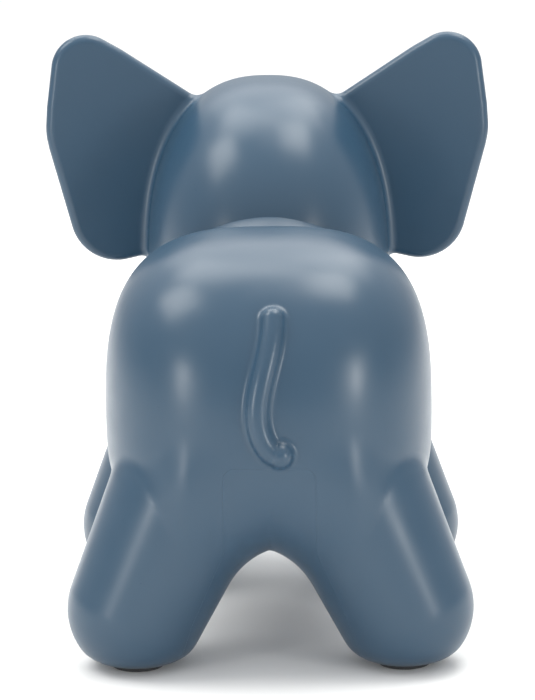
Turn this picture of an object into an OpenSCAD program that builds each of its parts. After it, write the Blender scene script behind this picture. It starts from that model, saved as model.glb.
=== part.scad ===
// Elephant coin bank: a hollow moulded animal that stands on four splayed legs.
// The head carries two flat ears, and coins drop in through a slot behind the rump.
// +Z is up, the elephant looks along -Y, and the feet stand on z = 0.

/* [Body] */
// Width across the rump
body_w = 112; // [92:1:136]
// Length of the rump, front to back
rump_len = 118; // [98:1:142]
// Height of the rump lobe
rump_h = 106; // [88:1:127]
// Height of the widest part of the rump above its underside
rump_down = 45.2; // [37.6:0.2:54.4]
// Width across the chest
chest_w = 100; // [82:1:120]
// Length of the chest lobe
chest_len = 96; // [80:1:116]
// Height of the chest lobe
chest_h = 90; // [74:1:108]
// Distance between the middle of the rump and the middle of the chest
lobe_gap = 58; // [48:1:70]
// Height of the belly above the ground
belly_clear = 38.8; // [32:0.2:47]
// How square the body is from behind (2 is an ellipse)
body_square = 3; // [2.4:0.1:3.6]
// How square the body is from the side and from above
depth_square = 2.5; // [2.1:0.1:3]
// Wall of every moulded shell
wall = 2.6; // [2:0.1:3.2]
// Width of the belly strip between its two seams
strip_w = 31; // [25:1:37]
// Hairline left between two shells that meet
seam_gap = 0.2; // [0.1:0.05:0.3]

/* [Legs] */
// Distance between the left and right feet
foot_track = 91; // [76:1:110]
// Distance between the front and rear feet
leg_base = 114; // [95:1:137]
// Radius of a foot
foot_r = 23.7; // [20:0.1:28]
// Radius of a leg at the hip
hip_r = 26.8; // [22.4:0.1:32]
// Distance between the left and right hips
hip_track = 57; // [48:1:68]
// Height of the hips
hip_z = 57.7; // [50:0.1:66]
// How much nearer the middle a hip is than its foot
hip_inset = 2; // [0:0.1:6]
// How far the round foot is cut flat
foot_flat = 4; // [3.3:0.1:4.8]

/* [Head] */
// Width of the head
head_w = 88.4; // [74:0.4:106]
// Height of the crown above the middle of the head
head_up = 68; // [57:0.5:81]
// Depth of the chin below the middle of the head
head_down = 48; // [40:0.5:57]
// Depth of the head behind the ears
head_back = 67; // [56:1:80]
// Depth of the head in front of the ears
head_front = 42; // [36:1:50]
// Height of the widest part of the head
head_z = 114; // [106:0.5:124]
// Distance from the middle of the chest forward to the ears
head_reach = 57; // [50:1:66]
// Radius of the neck collar
neck_r = 37.5; // [31:0.1:40]
// Upward tilt of the neck
neck_tilt = 25; // [20:1:30]
// Length of the neck collar
neck_len = 36; // [30:1:43]

/* [Ears] */
// Thickness of an ear
ear_t = 5.6; // [4.6:0.1:6.8]
// Width of an ear beyond the side of the head
ear_reach = 37.5; // [31:0.5:45]
// Height of the ear tips above the middle of the head
ear_rise = 84.4; // [76:0.2:98]
// How far the ears sweep back
ear_sweep = 8; // [0:1:12]
// How deep the root of an ear sits in the head
ear_root = 7; // [6:0.5:9]

/* [Face] */
// Radius of the trunk at the face
trunk_r = 19; // [16:0.5:22]
// Radius of the trunk at its tip
tip_r = 10.5; // [9:0.5:12.5]
// How far the trunk reaches in front of its root
trunk_reach = 36; // [30:1:43]
// Height of the tip of the trunk above the soles
trunk_clear = 25; // [21:1:30]
// Radius of an eye
eye_r = 5.6; // [4.7:0.1:6.7]
// Radius of the stem that holds an eye
eye_stem_r = 2.4; // [2:0.1:2.9]
// Length of the stem
eye_stem = 5; // [4.2:0.1:6]
// Height of an eye's dome
eye_dome = 3; // [2.5:0.1:3.6]
// Distance of an eye from the middle of the face
eye_x = 24; // [20:0.5:28]
// Height of the eyes above the middle of the head
eye_up = 24; // [20:0.5:28]

/* [Tail] */
// Radius of the tail
tail_r = 4.3; // [3.6:0.1:5.2]
// Height of the tail's root above the middle of the rump
tail_rise = 40.3; // [33.6:0.1:44]
// Length of the upper part of the tail
tail_len = 30; // [25:0.5:36]
// Width of the hook that the tail ends in
tail_hook = 7.4; // [6.2:0.1:8.9]
// Height of the hook
tail_drop = 13.8; // [11.5:0.1:16.5]

/* [Coin slot] */
// Length of the slot, which takes coins up to 32 mm across
slot_len = 34; // [28:0.5:41]
// Width of the slot
slot_w = 5; // [4.8:0.1:6]
// Width of the liner's rim around the slot
slot_rim = 2.8; // [2.4:0.1:3.4]
// Distance of the slot in front of the middle of the rump
slot_ahead = 33; // [30:0.5:34]

/* [Stopper] */
// Radius of the hole that the stopper closes
stopper_r = 17; // [14:0.1:20.4]
// Radial clearance of the stopper in its seat
stopper_fit = 0.05; // [0.03:0.01:0.09]
// Width of the seat's flange
seat_rim = 5; // [4:0.1:6]
// Wall of the seat
seat_wall = 2.4; // [2:0.1:2.9]

/* [Feet pads] */
// Radius of a pad
pad_r = 9; // [7.5:0.1:10.8]
// Thickness of a pad
pad_t = 3; // [2.5:0.1:3.6]
// How far a pad stands proud of the sole
pad_proud = 0.6; // [0.5:0.1:0.8]

/* [Hidden] */

head_square = 2.4;
blue = [0.36, 0.45, 0.53];
blue_dark = [0.30, 0.38, 0.46];
rubber = [0.16, 0.17, 0.19];
far = 400;

// Clearances between pieces that fit into each other
head_play = seam_gap + 0.1;
ear_play = 0.15;
pad_play = 0.15;
seat_play = 0.15;
flange_play = 0.4;
slot_play = 0.2;
eye_play = 0.2;
stem_play = 0.1;
cap_play = 0.05;

// Places along the body: the middle of the rump is y = 0 here, and stand() centres the whole
rump_z = belly_clear + rump_down;
rump_up = rump_h - rump_down;
chest_lift = 3.3;
chest_z = belly_clear + chest_lift + chest_h / 2;
chest_y = -lobe_gap;
head_y = chest_y - head_reach;
feet_shift = 0.5;
feet_mid_y = -lobe_gap / 2 + feet_shift;

// The neck's ridge meets the back of the head at this point, and its bore reaches past its ends
neck_top_y = head_y + head_back * 0.95;
neck_top_z = head_z + head_up * 0.397;
neck_rear = neck_len * 0.4;
neck_bore_rear = neck_rear + 4;
neck_bore_len = neck_len + 10;

// Sole height, pad recess and the floor of the hollow inside a foot
foot_z = pad_proud + foot_r - foot_flat;
foot_floor_z = pad_t + wall;

// The stopper closes the belly midway between the legs, in a flat land backed by a boss
stopper_y = feet_mid_y;
land_sink = 4.4;
land_z = belly_clear + land_sink;
seat_outer_r = stopper_r + seat_wall;
flange_r = seat_outer_r + seat_rim;
flange_t = 2;
seat_h = 8;
cap_t = 1.8;
cap_r = stopper_r + 3;
cup_wall = 3;
cup_floor = 2;
grip_w = 4;
grip_h = 5;
land_r = flange_r + flange_play;
boss_t = 3.6;
boss_rim = 2.4;

// The seams run along the flanks at this height, and splay down the legs
seam_top = belly_clear + 37;
seam_crotch = belly_clear + 5;
seam_knee = [foot_track / 2 - foot_r + 5, foot_z - 3];
seam_toe = foot_track / 2 - pad_r - 4;
seam_apron = land_r + 3;

// The back runs straight down from the rump to the chest between these two points, [y, z]
chest_square = body_square - 0.4;
rump_share = 0.353;
chest_share = 0.374;
function ridge(u, n) = pow(1 - pow(u, n), 1 / n);
rump_ridge = [-rump_share * rump_len / 2, rump_z + rump_up * ridge(rump_share, depth_square)];
chest_ridge = [
    chest_y - chest_share * chest_len / 2,
    chest_z + chest_h / 2 * ridge(chest_share, depth_square)
];

// The coin slot lies in a shallow pocket on that slope, its walls upright
slot_tilt = atan((rump_ridge[1] - chest_ridge[1]) / (rump_ridge[0] - chest_ridge[0]));
slot_y = -slot_ahead;
slot_sink = 0.6;
slot_z = rump_ridge[1] + (slot_y - rump_ridge[0]) * tan(slot_tilt) - slot_sink;
slot_boss_h = 5;
rim_t = 1.3;
rim_corner = 2;
liner_wall = 1.2;
liner_h = 5.5;

// The tail sweeps down to one side, then hooks to the other: [x, z] of its middle line
tail_root = [-1.7, rump_z + tail_rise];
hook_top = [3.7, tail_root[1] - tail_len];
function sweep(t) = t * t * (3 - 2 * t);
tail_line = concat(
    [for (t = [0:0.25:1]) [
        tail_root[0] + (hook_top[0] - tail_root[0]) * sweep(t),
        tail_root[1] - tail_len * t
    ]],
    [for (a = [30:30:90]) hook_top + [tail_hook * (cos(a) - 1), -tail_drop * sin(a)]]
);
tail_sink = 0.4;
function rump_back(p) =
    let (
        across = abs(p[0]) / (body_w / 2),
        up = abs(p[1] - rump_z) / (p[1] > rump_z ? rump_up : rump_down),
        section = pow(pow(across, body_square) + pow(up, body_square), 1 / body_square)
    )
    rump_len / 2 * ridge(section, depth_square);
tail_back = max([for (p = tail_line) rump_back(p)]) - tail_sink;

// The trunk hangs from the face, [y, z, radius] at each of its stations
trunk_sink = 14;
trunk_root = [head_y - head_front + trunk_sink, head_z - head_up * 0.1];
trunk_tip = [trunk_root[0] - trunk_reach, pad_proud + trunk_clear + tip_r];
trunk_steps = 8;
function trunk_at(t) = [
    trunk_root[0] - trunk_reach * (0.5 * sin(90 * t) + 0.5 * pow(t, 5)),
    trunk_root[1] + (trunk_tip[1] - trunk_root[1]) * sin(90 * t),
    trunk_r + (tip_r - trunk_r) * t
];
trunk_line = [for (i = [0:trunk_steps]) trunk_at(i / trunk_steps)];

// An eye sits this deep in the face
eye_seat = 1.2;

back_y = tail_back + tail_r;
front_y = trunk_tip[0] - tip_r;
middle_y = (back_y + front_y) / 2;

module stand() translate([0, -middle_y, 0]) children();

// Superellipsoid of half-sizes [side, back, up, front, down], with an exponent of its own along Y
module lobe(size, exponent, depth_exponent, around = 40, down = 20) {
    function section(d, r) =
        pow(pow(abs(d[0]) / r[0], exponent) + pow(abs(d[2]) / r[2], exponent), 1 / exponent);
    function radius(d, r) =
        let (across = section(d, r), along = abs(d[1]) / r[1])
        1 / pow(pow(across, depth_exponent) + pow(along, depth_exponent), 1 / depth_exponent);
    function reach(d) = radius(d, [size[0], size[d[1] > 0 ? 1 : 3], size[d[2] > 0 ? 2 : 4]]);
    function heading(a, b) = [cos(a) * sin(b), sin(a) * sin(b), cos(b)];
    points = [
        for (j = [1:down - 1]) for (i = [0:around - 1])
            let (d = heading(360 * i / around, 180 * j / down)) d * reach(d)
    ];
    top = len(points);
    faces = concat(
        [for (j = [0:down - 3]) for (i = [0:around - 1])
            let (k = (i + 1) % around)
            [j * around + i, j * around + k, (j + 1) * around + k, (j + 1) * around + i]],
        [for (i = [0:around - 1]) [top, (i + 1) % around, i]],
        [for (i = [0:around - 1])
            [top + 1, (down - 2) * around + i, (down - 2) * around + (i + 1) % around]]
    );
    hull() polyhedron(concat(points, [[0, 0, size[2]], [0, 0, -size[4]]]), faces);
}

// A leg is a tapered round from the foot to the hip, cut flat at the sole
module leg(side, end, grow, floor_z) {
    intersection() {
        hull() {
            translate([side * foot_track / 2, feet_mid_y + end * leg_base / 2, foot_z])
                sphere(foot_r + grow, $fn = 28);
            translate([side * hip_track / 2, feet_mid_y + end * (leg_base / 2 - hip_inset), hip_z])
                sphere(hip_r + grow, $fn = 28);
        }
        translate([-far / 2, -far / 2, floor_z]) cube(far);
    }
}

module grown_lobe(half, grow, exponent) lobe([for (h = half) h + grow], exponent, depth_square);

module torso(grow) hull() {
    rump_half = [body_w / 2, rump_len / 2, rump_up, rump_len / 2, rump_down];
    chest_half = [chest_w / 2, chest_len / 2, chest_h / 2, chest_len / 2, chest_h / 2];
    translate([0, 0, rump_z]) grown_lobe(rump_half, grow, body_square);
    translate([0, chest_y, chest_z]) grown_lobe(chest_half, grow, chest_square);
}

module body_solid(grow, floor_z) {
    torso(grow);
    for (side = [-1, 1]) for (end = [-1, 1]) leg(side, end, grow, floor_z);
}

// Everything inside the neck, from its rear end forward
module neck_space(r, rear, length) {
    translate([0, neck_top_y, neck_top_z])
        rotate([90 - neck_tilt, 0, 0])
        translate([0, -neck_r, -rear])
        cylinder(r = r, h = length, $fn = 72);
}

// The strip between the two seams, seen along the body: straight sides that splay down the legs
module strip_zone(shrink) {
    half = strip_w / 2 - shrink;
    right = [
        [half, seam_top - shrink],
        [half, seam_crotch],
        seam_knee - [shrink, 0],
        [seam_toe - shrink, -1]
    ];
    left = [for (i = [len(right) - 1:-1:0]) [-right[i][0], right[i][1]]];
    rotate([90, 0, 0]) translate([0, 0, -far / 2]) linear_extrude(far) polygon(concat(right, left));
    translate([0, stopper_y, -1]) cylinder(r = seam_apron - shrink, h = belly_clear + 10, $fn = 72);
}

module pad_recesses() {
    for (side = [-1, 1]) for (end = [-1, 1])
        translate([side * foot_track / 2, feet_mid_y + end * leg_base / 2, -1])
            cylinder(r = pad_r + pad_play, h = pad_t + 1, $fn = 40);
}

module body_shell() {
    difference() {
        union() {
            body_solid(0, pad_proud);
            tail();
        }
        difference() {
            body_solid(-wall, foot_floor_z);
            slot_boss();
            stopper_boss();
        }
        neck_space(neck_r + seam_gap, neck_bore_rear, far);
        pad_recesses();
        slot_pocket();
        stopper_hole();
    }
}

module tail() {
    for (i = [0:len(tail_line) - 2]) hull() for (p = [tail_line[i], tail_line[i + 1]])
        translate([p[0], rump_back(p) - tail_sink, p[1]]) sphere(tail_r, $fn = 16);
}

// Block with round upright edges, its foot at z = 0
module rounded_block(length, width, height, radius) {
    translate([-length / 2, radius - width / 2, 0]) cube([length, width - 2 * radius, height]);
    translate([radius - length / 2, -width / 2, 0]) cube([length - 2 * radius, width, height]);
    for (sx = [-1, 1]) for (sy = [-1, 1])
        translate([sx * (length / 2 - radius), sy * (width / 2 - radius), 0])
            cylinder(r = radius, h = height, $fn = 32);
}

module rim_block(grow, height) {
    around = 2 * (slot_rim + grow);
    rounded_block(slot_len + around, slot_w + around, height, rim_corner + grow);
}

// What lies above the sloping plane that is this far above the rim's top
module above_slope(height) {
    translate([0, slot_y, slot_z]) rotate([slot_tilt, 0, 0])
        translate([-far / 2, -far / 2, height]) cube(far);
}

module slot_boss() intersection() {
    translate([0, slot_y, rump_z]) rim_block(1, far);
    above_slope(-slot_boss_h);
}

module slot_pocket() {
    sleeve = 2 * (liner_wall + slot_play);
    intersection() {
        translate([0, slot_y, rump_z]) rim_block(slot_play, far);
        above_slope(-rim_t);
    }
    translate([0, slot_y, rump_z]) rounded_block(
        slot_len + sleeve, slot_w + sleeve, far, liner_wall + slot_play);
}

module stopper_boss() {
    translate([0, stopper_y, 0]) cylinder(r = land_r + boss_rim, h = land_z + boss_t, $fn = 72);
}

module stopper_hole() {
    translate([0, stopper_y, 0]) cylinder(r = land_r, h = land_z, $fn = 72);
    translate([0, stopper_y, 0]) cylinder(r = seat_outer_r + seat_play, h = rump_z, $fn = 72);
}

module back_shell() color(blue) stand() difference() {
    body_shell();
    strip_zone(0);
}

module belly_shell() color(blue) stand() intersection() {
    body_shell();
    strip_zone(seam_gap);
}

module neck_collar() color(blue) stand()
    translate([0, neck_top_y, neck_top_z])
    rotate([90 - neck_tilt, 0, 0])
    translate([0, -neck_r, -neck_rear])
    rotate_extrude($fn = 96) translate([neck_r - wall, 0]) square([wall, neck_len]);

module head_solid(grow) {
    size = [for (half = [head_w / 2, head_back, head_up, head_front, head_down]) half + grow];
    translate([0, head_y, head_z]) lobe(size, head_square, head_square);
}

// An ear: a flat plate with round edges, [x, z, radius] of each corner from the side of the head
module ear(side, grow = 0) {
    corners = [
        [-13.8 - ear_root, ear_rise - 29.4, 3],
        [ear_reach - 15, ear_rise - 12.6, 12.6],
        [ear_reach - 24.3, ear_rise - 34.4, 24.3],
        [ear_reach - 25.9, ear_rise - 66.7, 17.6],
        [0.4 - ear_root, ear_rise - 77.7, 3]
    ];
    half = ear_t / 2;
    translate([side * head_w / 2, head_y, head_z])
        rotate([90, 0, side * ear_sweep])
        hull() for (c = corners) translate([side * c[0], c[1], 0]) ear_corner(c[2] - half, half + grow);
}

// A corner is a ring as thick as the ear, or a ball where the ring would close
module ear_corner(ring_r, edge_r) {
    if (ring_r > edge_r + 1)
        rotate_extrude($fn = 40) translate([ring_r, 0]) circle(r = edge_r, $fn = 16);
    else
        sphere(edge_r, $fn = 16);
}

module trunk_solid(grow) {
    for (i = [0:trunk_steps - 1]) hull() for (s = [trunk_line[i], trunk_line[i + 1]])
        translate([0, s[0], s[1]]) sphere(s[2] + grow, $fn = 28);
}

module head_shell() {
    difference() {
        head_solid(0);
        head_solid(-wall);
        body_solid(head_play, 0);
        neck_space(neck_r + seam_gap, neck_bore_rear, neck_bore_len);
        ear(-1, ear_play);
        ear(1, ear_play);
    }
}

module head_rear_shell() color(blue) stand() intersection() {
    head_shell();
    translate([-far / 2, head_y, 0]) cube(far);
}

// Where an eye sits: on the face, with +Z out of it
module at_eye(side) {
    half = [head_w / 2, head_front, head_up];
    rest = 1 - pow(eye_x / half[0], head_square) - pow(eye_up / half[2], head_square);
    spot = [eye_x, -half[1] * pow(rest, 1 / head_square), eye_up];
    n = [for (k = [0:2]) sign(spot[k]) * pow(abs(spot[k]) / half[k], head_square - 1) / half[k]];
    translate([side * spot[0], head_y + spot[1], head_z + spot[2]])
        rotate([0, acos(n[2] / norm(n)), atan2(n[1], side * n[0])])
        children();
}

module face_shell() color(blue) stand() difference() {
    head_shell();
    translate([-far / 2, head_y - seam_gap, 0]) cube(far);
    trunk_solid(seam_gap);
    for (side = [-1, 1]) at_eye(side) {
        translate([0, 0, -eye_seat]) cylinder(r = eye_r + eye_play, h = 10, $fn = 40);
        translate([0, 0, -10]) cylinder(r = eye_stem_r + stem_play, h = 10, $fn = 32);
    }
}

module trunk() color(blue) stand() difference() {
    trunk_solid(0);
    trunk_solid(-wall);
    translate([-far / 2, trunk_root[0], 0]) cube(far);
}

module ear_left() color(blue_dark) stand() ear(1);

module ear_right() color(blue_dark) stand() ear(-1);

// A domed button on a stem
module eye(side) {
    dome_r = (eye_r * eye_r + eye_dome * eye_dome) / (2 * eye_dome);
    at_eye(side) translate([0, 0, -eye_seat]) {
        translate([0, 0, -eye_stem]) cylinder(r = eye_stem_r, h = eye_stem + 0.4, $fn = 32);
        intersection() {
            translate([0, 0, eye_dome - dome_r]) sphere(dome_r, $fn = 64);
            cylinder(r = eye_r, h = eye_dome + 1, $fn = 64);
        }
    }
}

module eye_left() color(rubber) stand() eye(1);

module eye_right() color(rubber) stand() eye(-1);

module slot_liner() color(blue_dark) stand() difference() {
    union() {
        intersection() {
            translate([0, slot_y, rump_z]) rim_block(0, far);
            difference() {
                above_slope(-rim_t);
                above_slope(0);
            }
        }
        difference() {
            translate([0, slot_y, slot_z - liner_h - rim_t]) rounded_block(
                slot_len + 2 * liner_wall, slot_w + 2 * liner_wall, far, liner_wall);
            above_slope(-rim_t / 2);
        }
    }
    translate([-slot_len / 2, slot_y - slot_w / 2, rump_z]) cube([slot_len, slot_w, far]);
}

module stopper_seat() color(blue_dark) stand() translate([0, stopper_y, land_z])
    rotate_extrude($fn = 96) polygon([
        [stopper_r, -flange_t], [flange_r, -flange_t], [flange_r, 0],
        [seat_outer_r, 0], [seat_outer_r, seat_h], [stopper_r, seat_h]
    ]);

// A cup with a cap below it, and a bar across the cup to pull it by
module stopper_plug() color(rubber) stand() translate([0, stopper_y, land_z - flange_t - cap_play]) {
    body_r = stopper_r - stopper_fit;
    cup_r = body_r - cup_wall;
    difference() {
        union() {
            translate([0, 0, -cap_t]) cylinder(r = cap_r, h = cap_t, $fn = 96);
            cylinder(r = body_r, h = seat_h, $fn = 96);
        }
        translate([0, 0, -cap_t - 1]) cylinder(r = cup_r, h = seat_h + cap_t + 1 - cup_floor, $fn = 96);
    }
    translate([-cup_r - 1, -grip_w / 2, -cap_t]) cube([2 * cup_r + 2, grip_w, grip_h]);
}

module foot_pad(side, end) color(rubber) stand()
    translate([side * foot_track / 2, feet_mid_y + end * leg_base / 2, 0])
    rotate_extrude($fn = 64) polygon([
        [0, 0], [pad_r - 0.6, 0], [pad_r, 0.6], [pad_r, pad_t], [0, pad_t]
    ]);

module foot_pad_rear_left() foot_pad(1, 1);

module foot_pad_rear_right() foot_pad(-1, 1);

module foot_pad_front_left() foot_pad(1, -1);

module foot_pad_front_right() foot_pad(-1, -1);

back_shell();
belly_shell();
neck_collar();
head_rear_shell();
face_shell();
trunk();
ear_left();
ear_right();
eye_left();
eye_right();
slot_liner();
stopper_seat();
stopper_plug();
foot_pad_rear_left();
foot_pad_rear_right();
foot_pad_front_left();
foot_pad_front_right();
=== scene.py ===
import math

import bmesh
import bpy
import numpy as np
from mathutils import Matrix, Vector


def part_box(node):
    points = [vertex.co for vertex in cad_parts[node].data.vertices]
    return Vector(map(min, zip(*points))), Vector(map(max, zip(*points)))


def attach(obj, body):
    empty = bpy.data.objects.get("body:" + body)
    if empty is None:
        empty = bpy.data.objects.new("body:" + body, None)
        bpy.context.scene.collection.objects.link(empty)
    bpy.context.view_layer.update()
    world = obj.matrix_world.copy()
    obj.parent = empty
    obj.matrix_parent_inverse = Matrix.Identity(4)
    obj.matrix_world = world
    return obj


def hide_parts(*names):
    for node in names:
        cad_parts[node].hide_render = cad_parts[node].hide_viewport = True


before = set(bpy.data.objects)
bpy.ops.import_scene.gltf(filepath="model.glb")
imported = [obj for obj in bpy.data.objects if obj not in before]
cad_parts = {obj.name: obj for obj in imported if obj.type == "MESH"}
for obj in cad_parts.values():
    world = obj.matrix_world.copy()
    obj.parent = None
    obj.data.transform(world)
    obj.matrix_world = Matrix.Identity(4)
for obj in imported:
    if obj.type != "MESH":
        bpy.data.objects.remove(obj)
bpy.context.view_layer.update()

MM = 0.001

# ---------------------------------------------------------------- sizes, in millimetres
# They repeat the driving sizes of the CAD part. y = 0 is the middle of the rump here.

WALL = 2.6
GAP = 0.2
BELLY = 38.8
LOBE_GAP = 58.0
RUMP_SIDE = 56.0
RUMP_REAR = 59.0
RUMP_UP = 60.8
RUMP_DOWN = 45.2
RUMP_HALF = np.array((RUMP_SIDE, RUMP_REAR, RUMP_UP, RUMP_REAR, RUMP_DOWN))
CHEST_HALF = np.array((50.0, 48.0, 45.0, 48.0, 45.0))
RUMP = np.array((0.0, 0.0, BELLY + RUMP_DOWN))
RUMP_TOP = RUMP[2] + RUMP_UP
CHEST = np.array((0.0, -LOBE_GAP, BELLY + 3.3 + CHEST_HALF[2]))
RUMP_POWER = 3.0
CHEST_POWER = 2.6
DEPTH_POWER = 2.5

# Where the straight back leaves the rump and meets the chest, as shares of the lobes' half lengths
RUMP_SHARE = 0.353
CHEST_SHARE = 0.374
# The same for the flanks and the underside, which slope less
FLANK_SHARE = 0.228
UNDER_SHARE = 0.177

# Height of the feet's undersides, and how far their edges are rounded
SOLE = 0.6
SOLE_EDGE = 7.0
FOOT_R = 23.7
FOOT_Z = SOLE + FOOT_R - 4.0
HIP_R = 26.8
FOOT_X = 45.5
HIP_X = 28.5
HIP_Z = 57.7
LEGS_Y = -LOBE_GAP / 2 + 0.5
FOOT_DY = 57.0
HIP_DY = FOOT_DY - 2.0
# Legs and body flow into each other: a wide sweep inside the legs, and a crisp crease outside, which starts
# HIP_BLEND_FROM off the middle and is complete HIP_BLEND_OVER further out
HIP_BLEND_INSIDE = 15.0
HIP_BLEND_OUTSIDE = 2.2
HIP_BLEND_FROM = 26.0
HIP_BLEND_OVER = 18.0

HEAD = np.array((0.0, -LOBE_GAP - 57.0, 114.0))
HEAD_HALF = (44.2, 67.0, 68.0, 42.0, 48.0)
HEAD_POWER = 2.4
EAR_HALF_T = 2.8
EAR_SWEEP = math.radians(8.0)
# [outward, up, radius] of the circles that the ear's outline wraps, from the head's top round to its side
EAR_CORNERS = (
    (-20.8, 55.0, 3.0),
    (22.5, 71.8, 12.6),
    (13.2, 50.0, 24.3),
    (11.6, 17.7, 17.6),
    (-6.6, 6.7, 3.0),
)
EAR_BLEND = 4.0
EAR_INLAY = 4.6
HEAD_PLAY = 0.3

NECK_R = 37.5
NECK_TILT = math.radians(25.0)
NECK_TOP = (HEAD[1] + HEAD_HALF[1] * 0.95, HEAD[2] + HEAD_HALF[2] * 0.397)
NECK_REAR = 14.4
NECK_FRONT = 21.6

TRUNK_ROOT = (HEAD[1] - HEAD_HALF[3] + 14.0, HEAD[2] - 6.8)
TRUNK_REACH = 36.0
TRUNK_R = 19.0
TIP_R = 10.5
TIP_Z = SOLE + 25.0 + TIP_R
TRUNK_BLEND = 14.0
# Share of the trunk's length where it is joined to the face
TRUNK_SPLIT = 0.40

TAIL_R = 3.9
TAIL_SINK = 0.2
TAIL_BLEND = 2.2
TAIL_KNOB = 0.6
TAIL_ROOT = (-1.7, RUMP[2] + 40.3)
TAIL_LEN = 30.0
HOOK_TOP = (3.7, TAIL_ROOT[1] - TAIL_LEN)
HOOK_W = 7.4
HOOK_DROP = 13.8

pad_low, pad_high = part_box("foot_pad_rear_left")
SHIFT_Y = (pad_low.y + pad_high.y) / 2 / MM - (LEGS_Y + FOOT_DY)

DETAIL = 1

# ---------------------------------------------------------------- fields: distance in mm, below 0 inside

OUT_OF_REACH = 1e3
# Limits, in mm, beyond which the exact distance to a slender shape no longer matters
TAIL_HALF_REACH = 25.0
TAIL_BEHIND = 20.0
TRUNK_HALF_REACH = 50.0
TRUNK_BEHIND = 10.0
EAR_HALF_REACH = 16.0
EAR_INWARD = -40.0


def blend(a, b, reach):
    """The union of two fields, rounded where they meet."""
    near = np.maximum(reach - np.abs(a - b), 0.0) / np.maximum(reach, 1e-6)
    return np.minimum(a, b) - near * near * reach * 0.25


def carve(a, b, reach):
    """Field a without field b, its edge rounded."""
    return -blend(-a, b, reach)


def ridge(share, power):
    """Height of a superellipse at a share of its width."""
    return (1 - share ** power) ** (1 / power)


def ease(t):
    """0 to 1 with a slow start and a slow end."""
    return t * t * (3 - 2 * t)


def only_near(near, field, points):
    """The field at the points marked as near, and a large value at the rest, to save time."""
    out = np.full(len(points), OUT_OF_REACH)
    if near.any():
        out[near] = field(points[near])
    return out


def lobe(p, centre, half, power, depth_power):
    """Superellipsoid of half-sizes (side, back, up, front, down), with a power of its own along Y.

    The centre, the half-sizes and the power are one for all points, or one for each."""
    q = p - centre
    side, back, up, front, down = np.moveaxis(np.asarray(half, float), -1, 0)
    depth = np.where(q[:, 1] > 0, back, front)
    height = np.where(q[:, 2] > 0, up, down)
    section = np.abs(q[:, 0] / side) ** power + np.abs(q[:, 2] / height) ** power
    g = section ** (depth_power / power) + np.abs(q[:, 1] / depth) ** depth_power
    g = np.maximum(g, 1e-9) ** (1.0 / depth_power)
    return np.linalg.norm(q, axis=1) * (1.0 - 1.0 / g)


def taper(p, a, b, ra, rb):
    """Round cone between two balls."""
    a, b = np.asarray(a, float), np.asarray(b, float)
    along = b - a
    length2 = along @ along
    slope = ra - rb
    flank2 = length2 - slope * slope
    pa = p - a
    y = pa @ along
    z = y - length2
    side = pa * length2 - np.outer(y, along)
    x2 = np.einsum("ij,ij->i", side, side)
    y2 = y * y * length2
    z2 = z * z * length2
    k = np.sign(slope) * slope * slope * x2
    at_b = np.sqrt(x2 + z2) / length2 - rb
    at_a = np.sqrt(x2 + y2) / length2 - ra
    flank = (np.sqrt(x2 * flank2 / length2) + y * slope) / length2 - ra
    beyond_b = np.sign(z) * flank2 * z2 > k
    before_a = np.sign(y) * flank2 * y2 < k
    return np.where(beyond_b, at_b, np.where(before_a, at_a, flank))


def chain(p, stations):
    """Tapered tube through (x, y, z, radius) stations."""
    out = np.full(len(p), OUT_OF_REACH)
    for s, t in zip(stations[:-1], stations[1:]):
        out = np.minimum(out, taper(p, s[:3], t[:3], s[3], t[3]))
    return out


def hold(t, round_off=0.12):
    """t held between 0 and 1, with its two corners rounded."""
    def above(t):
        rounded = np.clip(t + round_off, 0, 2 * round_off) ** 2 / (4 * round_off)
        return rounded + np.maximum(t - round_off, 0)

    return 1 - above(1 - above(t))


def torso_field(p, grow=0.0):
    """A lobe whose middle and size slide from chest to rump, so that it wraps straight round both."""
    t = np.clip((p[:, 1] - CHEST[1]) / (RUMP[1] - CHEST[1]), 0, 1)
    lift = p[:, 2] - (CHEST[2] + (RUMP[2] - CHEST[2]) * t)
    steep = lift ** 2 / (lift ** 2 + p[:, 0] ** 2 + 1e-9)
    share = FLANK_SHARE + (np.where(lift > 0, RUMP_SHARE, UNDER_SHARE) - FLANK_SHARE) * steep
    first = CHEST[1] - share * CHEST_HALF[3]
    last = RUMP[1] - share * RUMP_HALF[3]
    t = hold((p[:, 1] - first) / (last - first))
    power = CHEST_POWER + (RUMP_POWER - CHEST_POWER) * t
    t = t[:, None]
    centre = CHEST + (RUMP - CHEST) * t
    half = CHEST_HALF + (RUMP_HALF - CHEST_HALF) * t + grow
    return lobe(p, centre, half, power, DEPTH_POWER)


def legs_field(p, grow=0.0):
    """All four legs, worked out as one: each is the mirror image of the others."""
    q = np.stack([np.abs(p[:, 0]), np.abs(p[:, 1] - LEGS_Y), p[:, 2]], axis=1)
    foot, hip = (FOOT_X, FOOT_DY, FOOT_Z), (HIP_X, HIP_DY, HIP_Z)
    return taper(q, foot, hip, FOOT_R + grow, HIP_R + grow)


def hip_blend(p):
    """How far a leg and the body flow into each other: a crisp crease outside, a wide sweep inside."""
    outward = ease(np.clip((np.abs(p[:, 0]) - HIP_BLEND_FROM) / HIP_BLEND_OVER, 0, 1))
    return HIP_BLEND_INSIDE + (HIP_BLEND_OUTSIDE - HIP_BLEND_INSIDE) * outward


def tail_line():
    """The tail sweeps down to one side, then hooks to the other: [x, z] of its middle line."""
    sway = HOOK_TOP[0] - TAIL_ROOT[0]
    line = []
    for t in np.linspace(0, 1, 13):
        line.append((TAIL_ROOT[0] + sway * ease(t), TAIL_ROOT[1] - TAIL_LEN * t))
    for a in np.radians(np.arange(9, 91, 9)):
        line.append((HOOK_TOP[0] + HOOK_W * (math.cos(a) - 1), HOOK_TOP[1] - HOOK_DROP * math.sin(a)))
    return line


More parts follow.
